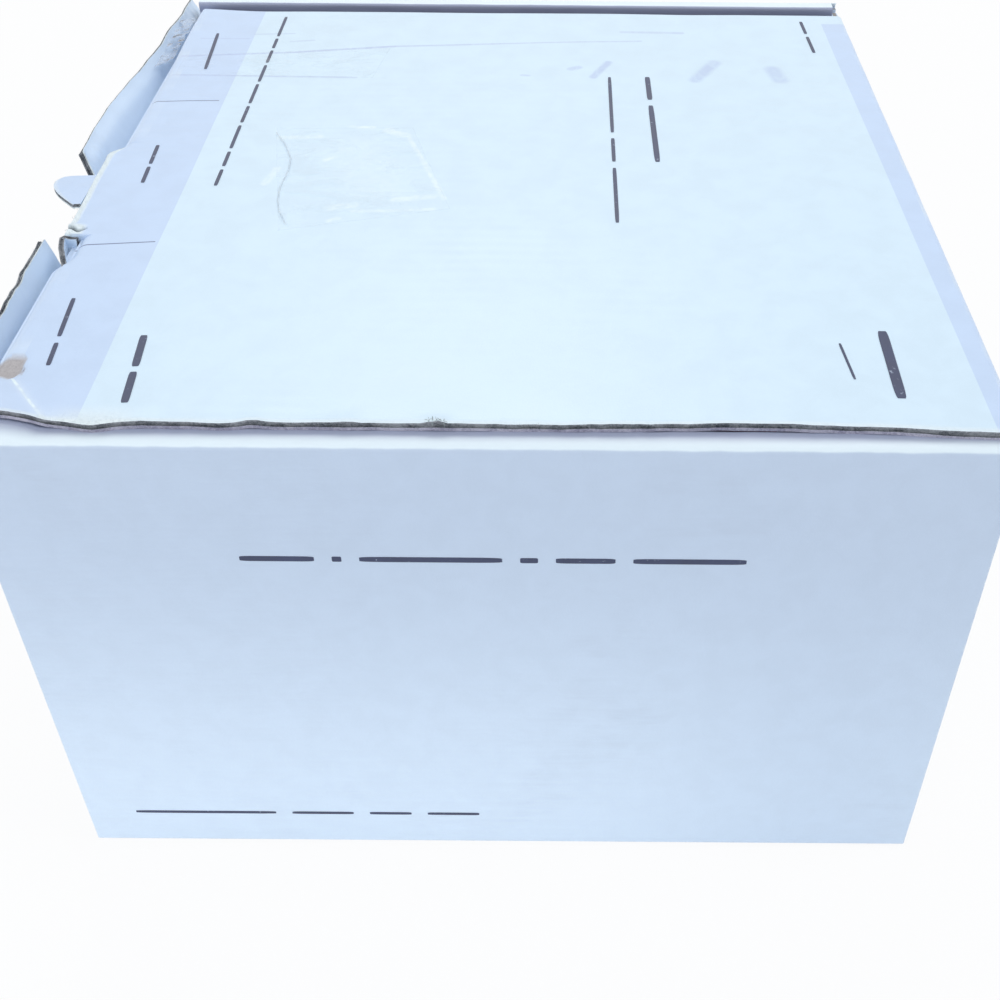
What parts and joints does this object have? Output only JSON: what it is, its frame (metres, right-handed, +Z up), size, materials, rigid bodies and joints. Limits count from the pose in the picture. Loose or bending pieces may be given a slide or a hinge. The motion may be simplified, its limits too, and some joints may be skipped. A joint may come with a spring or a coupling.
{
  "type": "carton of disposable eye shields",
  "caption": "White-lined corrugated mailer carton with a tuck-in lid, holding nested disposable eye shields with coloured frames and clear lenses.",
  "frame": {"origin": "centre of the carton's underside", "axes": "+X to the carton's right, -Y to its front where the lid tucks in, +Y to the lid's hinge, +Z up"},
  "size_m": [0.188, 0.1762, 0.108],
  "materials": {
    "lined_board": "smooth white-lined fine-flute board",
    "inner_board": "uncoated grey-white board",
    "black_frame": "glossy moulded polycarbonate",
    "brown_frame": "glossy moulded polycarbonate",
    "blue_frame": "glossy moulded polycarbonate",
    "purple_frame": "glossy moulded polycarbonate",
    "red_frame": "glossy moulded polycarbonate",
    "clear_lens": "clear thin polycarbonate sheet"
  },
  "bodies": {
    "carton": {"bottom_panel": "inner_board", "front_panel": "lined_board", "front_lip_left": "lined_board", "front_lip_right": "lined_board", "back_panel": "lined_board", "side_panel_left": "lined_board", "side_panel_right": "lined_board", "roll_over_left": "lined_board", "roll_over_right": "lined_board", "corner_flap_front_left": "inner_board", "corner_flap_front_right": "inner_board", "corner_flap_back_left": "inner_board", "corner_flap_back_right": "inner_board", "frame_black_1": "black_frame", "frame_black_2": "black_frame", "frame_brown_1": "brown_frame", "frame_brown_2": "brown_frame", "frame_blue_1": "blue_frame", "frame_blue_2": "blue_frame", "frame_purple_1": "purple_frame", "frame_purple_2": "purple_frame", "frame_red_1": "red_frame", "frame_red_2": "red_frame", "lens_black_1": "clear_lens", "lens_black_2": "clear_lens", "lens_brown_1": "clear_lens", "lens_brown_2": "clear_lens", "lens_blue_1": "clear_lens", "lens_blue_2": "clear_lens", "lens_purple_1": "clear_lens", "lens_purple_2": "clear_lens", "lens_red_1": "clear_lens", "lens_red_2": "clear_lens"},
    "lid": {"lid_panel": "lined_board", "pull_tab": "lined_board"},
    "tuck": {"tuck_flap": "lined_board"}
  },
  "joints": [
    {"name": "lid_hinge", "type": "hinge", "parent": "carton", "child": "lid", "pos_m": [0, 0.084, 0.108], "axis": [-1, 0, 0], "range_deg": [0, 180]},
    {"name": "tuck_fold", "type": "hinge", "parent": "lid", "child": "tuck", "pos_m": [0, -0.0822, 0.108], "axis": [-1, 0, 0], "range_deg": [0, 50]}
  ],
  "couplings": [
    {"joint": "tuck_fold", "follows": "lid_hinge", "ratio": 0.27778}
  ]
}
